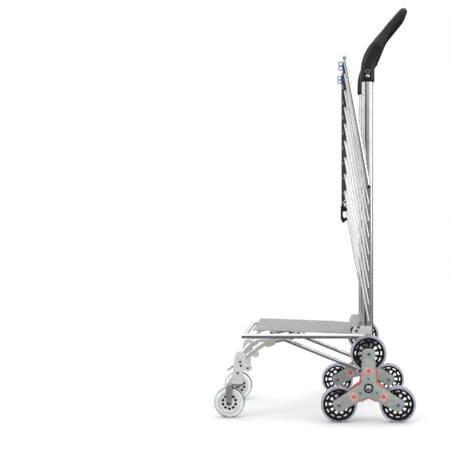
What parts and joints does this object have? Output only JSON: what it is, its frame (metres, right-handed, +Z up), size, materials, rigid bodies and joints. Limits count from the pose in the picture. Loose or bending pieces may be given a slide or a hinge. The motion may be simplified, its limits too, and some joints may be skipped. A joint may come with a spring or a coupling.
{
  "type": "shopping trolley on wheels",
  "caption": "Folding wire shopping trolley: back frame with a U-handle, collapsible basket, folding deck on castors and tri-wheel stair-climbing clusters.",
  "frame": {"origin": "on the floor under the middle of the trolley's length and width, deck down and basket folded", "axes": "+Z up, -X to the front castors, +X to the handle side, Y across"},
  "size_m": [0.4943, 0.4112, 1.0282],
  "materials": {
    "aluminium": "polished drawn tube",
    "chrome_wire": "bright plated wire",
    "grey_strip": "satin dark grey",
    "zinc_plate": "satin zinc",
    "steel_bolt": "bright",
    "black_bolt": "blackened",
    "black_plastic": "fine moulded texture",
    "grip_rubber": "pebbled",
    "blue_plastic": "gloss",
    "red_plastic": "gloss",
    "wheel_black": "satin",
    "clear_tyre": "clear soft tyre",
    "castor_white": "gloss",
    "castor_clear": "clear soft tyre",
    "bracket_white": "bright satin"
  },
  "bodies": {
    "frame": {"left_post": "aluminium", "right_post": "aluminium", "frame_crossbars": "aluminium", "back_grille": "chrome_wire", "back_strips": "grey_strip", "hinge_plates": "zinc_plate", "plate_bolts": "black_bolt", "deck_hinge_rod": "steel_bolt", "axle_blocks": "grey_strip", "main_axle": "steel_bolt", "handle_sockets": "black_plastic", "handle_grip": "grip_rubber", "handle_screws": "steel_bolt"},
    "basket_rails": {"top_rails": "aluminium", "rail_caps": "black_plastic"},
    "side_level_1": {"side_wires_1": "chrome_wire"},
    "side_level_2": {"side_wires_2": "chrome_wire"},
    "side_level_3": {"side_wires_3": "chrome_wire"},
    "side_level_4": {"side_wires_4": "chrome_wire"},
    "side_level_5": {"side_wires_5": "chrome_wire"},
    "side_level_6": {"side_wires_6": "chrome_wire"},
    "side_level_7": {"side_wires_7": "chrome_wire"},
    "side_level_8": {"side_wires_8": "chrome_wire"},
    "basket_front": {"front_strips": "grey_strip", "front_grille": "chrome_wire", "cover_clips": "blue_plastic"},
    "latch": {"latch_hook": "black_plastic"},
    "deck": {"deck_tubes": "aluminium", "deck_crossbars": "aluminium", "deck_mesh": "chrome_wire", "deck_bolts": "black_bolt"},
    "leg": {"leg_tubes": "aluminium", "leg_struts": "aluminium", "castor_brackets": "bracket_white", "leg_bolts": "steel_bolt"},
    "brace": {"brace_tubes": "aluminium"},
    "left_castor": {"left_castor_fork": "zinc_plate"},
    "left_castor_wheel": {"left_castor_core": "castor_white", "left_castor_tyre": "castor_clear"},
    "right_castor": {"right_castor_fork": "zinc_plate"},
    "right_castor_wheel": {"right_castor_core": "castor_white", "right_castor_tyre": "castor_clear"},
    "left_cluster": {"left_cluster_plates": "zinc_plate", "left_cluster_spacer": "red_plastic", "left_cluster_bolts": "steel_bolt"},
    "left_wheel_1": {"left_wheel_core_1": "wheel_black", "left_wheel_tyre_1": "clear_tyre"},
    "left_wheel_2": {"left_wheel_core_2": "wheel_black", "left_wheel_tyre_2": "clear_tyre"},
    "left_wheel_3": {"left_wheel_core_3": "wheel_black", "left_wheel_tyre_3": "clear_tyre"},
    "right_cluster": {"right_cluster_plates": "zinc_plate", "right_cluster_spacer": "red_plastic", "right_cluster_bolts": "steel_bolt"},
    "right_wheel_1": {"right_wheel_core_1": "wheel_black", "right_wheel_tyre_1": "clear_tyre"},
    "right_wheel_2": {"right_wheel_core_2": "wheel_black", "right_wheel_tyre_2": "clear_tyre"},
    "right_wheel_3": {"right_wheel_core_3": "wheel_black", "right_wheel_tyre_3": "clear_tyre"}
  },
  "joints": [
    {"name": "basket_open", "type": "hinge", "parent": "frame", "child": "basket_rails", "pos_m": [0.13434, 0, 0.57], "axis": [0, -1, 0], "range_deg": [0, 77.5]},
    {"name": "side_level_1_swing", "type": "hinge", "parent": "frame", "child": "side_level_1", "pos_m": [0.13434, 0, 0.529], "axis": [0, -1, 0], "range_deg": [0, 77.5]},
    {"name": "side_level_2_swing", "type": "hinge", "parent": "frame", "child": "side_level_2", "pos_m": [0.13434, 0, 0.488], "axis": [0, -1, 0], "range_deg": [0, 77.5]},
    {"name": "side_level_3_swing", "type": "hinge", "parent": "frame", "child": "side_level_3", "pos_m": [0.13434, 0, 0.447], "axis": [0, -1, 0], "range_deg": [0, 77.5]},
    {"name": "side_level_4_swing", "type": "hinge", "parent": "frame", "child": "side_level_4", "pos_m": [0.13434, 0, 0.406], "axis": [0, -1, 0], "range_deg": [0, 77.5]},
    {"name": "side_level_5_swing", "type": "hinge", "parent": "frame", "child": "side_level_5", "pos_m": [0.13434, 0, 0.365], "axis": [0, -1, 0], "range_deg": [0, 77.5]},
    {"name": "side_level_6_swing", "type": "hinge", "parent": "frame", "child": "side_level_6", "pos_m": [0.13434, 0, 0.324], "axis": [0, -1, 0], "range_deg": [0, 77.5]},
    {"name": "side_level_7_swing", "type": "hinge", "parent": "frame", "child": "side_level_7", "pos_m": [0.13434, 0, 0.283], "axis": [0, -1, 0], "range_deg": [0, 77.5]},
    {"name": "side_level_8_swing", "type": "hinge", "parent": "frame", "child": "side_level_8", "pos_m": [0.13434, 0, 0.242], "axis": [0, -1, 0], "range_deg": [0, 77.5]},
    {"name": "basket_front_level", "type": "hinge", "parent": "basket_rails", "child": "basket_front", "pos_m": [0.07566, 0, 0.88661], "axis": [0, -1, 0], "range_deg": [-77.5, 0]},
    {"name": "latch_swing", "type": "hinge", "parent": "basket_front", "child": "latch", "pos_m": [0.07766, 0, 0.52461], "axis": [0, -1, 0], "range_deg": [0, 38]},
    {"name": "deck_fold", "type": "hinge", "parent": "frame", "child": "deck", "pos_m": [0.13234, 0, 0.204], "axis": [0, -1, 0], "range_deg": [-60, 0]},
    {"name": "leg_fold", "type": "hinge", "parent": "deck", "child": "leg", "pos_m": [-0.05566, 0, 0.2], "axis": [0, -1, 0], "range_deg": [0, 107]},
    {"name": "brace_fold", "type": "hinge", "parent": "frame", "child": "brace", "pos_m": [0.11534, 0, 0.113], "axis": [0, -1, 0], "range_deg": [-47, 0]},
    {"name": "left_castor_swivel", "type": "hinge", "parent": "leg", "child": "left_castor", "pos_m": [-0.18966, -0.122, 0.08], "axis": [0, 0, -1], "continuous": true},
    {"name": "left_castor_roll", "type": "hinge", "parent": "left_castor", "child": "left_castor_wheel", "pos_m": [-0.20966, -0.122, 0.0375], "axis": [0, 1, 0], "continuous": true},
    {"name": "right_castor_swivel", "type": "hinge", "parent": "leg", "child": "right_castor", "pos_m": [-0.18966, 0.122, 0.08], "axis": [0, 0, 1], "continuous": true},
    {"name": "right_castor_roll", "type": "hinge", "parent": "right_castor", "child": "right_castor_wheel", "pos_m": [-0.20966, 0.122, 0.0375], "axis": [0, 1, 0], "continuous": true},
    {"name": "left_cluster_turn", "type": "hinge", "parent": "frame", "child": "left_cluster", "pos_m": [0.13234, -0.181, 0.0848], "axis": [0, 1, 0], "continuous": true},
    {"name": "left_wheel_1_roll", "type": "hinge", "parent": "left_cluster", "child": "left_wheel_1", "pos_m": [0.13234, -0.181, 0.1668], "axis": [0, 1, 0], "continuous": true},
    {"name": "left_wheel_2_roll", "type": "hinge", "parent": "left_cluster", "child": "left_wheel_2", "pos_m": [0.06133, -0.181, 0.0438], "axis": [0, 1, 0], "continuous": true},
    {"name": "left_wheel_3_roll", "type": "hinge", "parent": "left_cluster", "child": "left_wheel_3", "pos_m": [0.20336, -0.181, 0.0438], "axis": [0, 1, 0], "continuous": true},
    {"name": "right_cluster_turn", "type": "hinge", "parent": "frame", "child": "right_cluster", "pos_m": [0.13234, 0.181, 0.0848], "axis": [0, 1, 0], "continuous": true},
    {"name": "right_wheel_1_roll", "type": "hinge", "parent": "right_cluster", "child": "right_wheel_1", "pos_m": [0.13234, 0.181, 0.1668], "axis": [0, 1, 0], "continuous": true},
    {"name": "right_wheel_2_roll", "type": "hinge", "parent": "right_cluster", "child": "right_wheel_2", "pos_m": [0.06133, 0.181, 0.0438], "axis": [0, 1, 0], "continuous": true},
    {"name": "right_wheel_3_roll", "type": "hinge", "parent": "right_cluster", "child": "right_wheel_3", "pos_m": [0.20336, 0.181, 0.0438], "axis": [0, 1, 0], "continuous": true}
  ],
  "couplings": [
    {"joint": "side_level_1_swing", "follows": "basket_open", "ratio": 1},
    {"joint": "side_level_2_swing", "follows": "basket_open", "ratio": 1},
    {"joint": "side_level_3_swing", "follows": "basket_open", "ratio": 1},
    {"joint": "side_level_4_swing", "follows": "basket_open", "ratio": 1},
    {"joint": "side_level_5_swing", "follows": "basket_open", "ratio": 1},
    {"joint": "side_level_6_swing", "follows": "basket_open", "ratio": 1},
    {"joint": "side_level_7_swing", "follows": "basket_open", "ratio": 1},
    {"joint": "side_level_8_swing", "follows": "basket_open", "ratio": 1},
    {"joint": "basket_front_level", "follows": "basket_open", "ratio": -1},
    {"joint": "leg_fold", "follows": "deck_fold", "ratio": -1.7651},
    {"joint": "brace_fold", "follows": "deck_fold", "ratio": 0.7606}
  ]
}
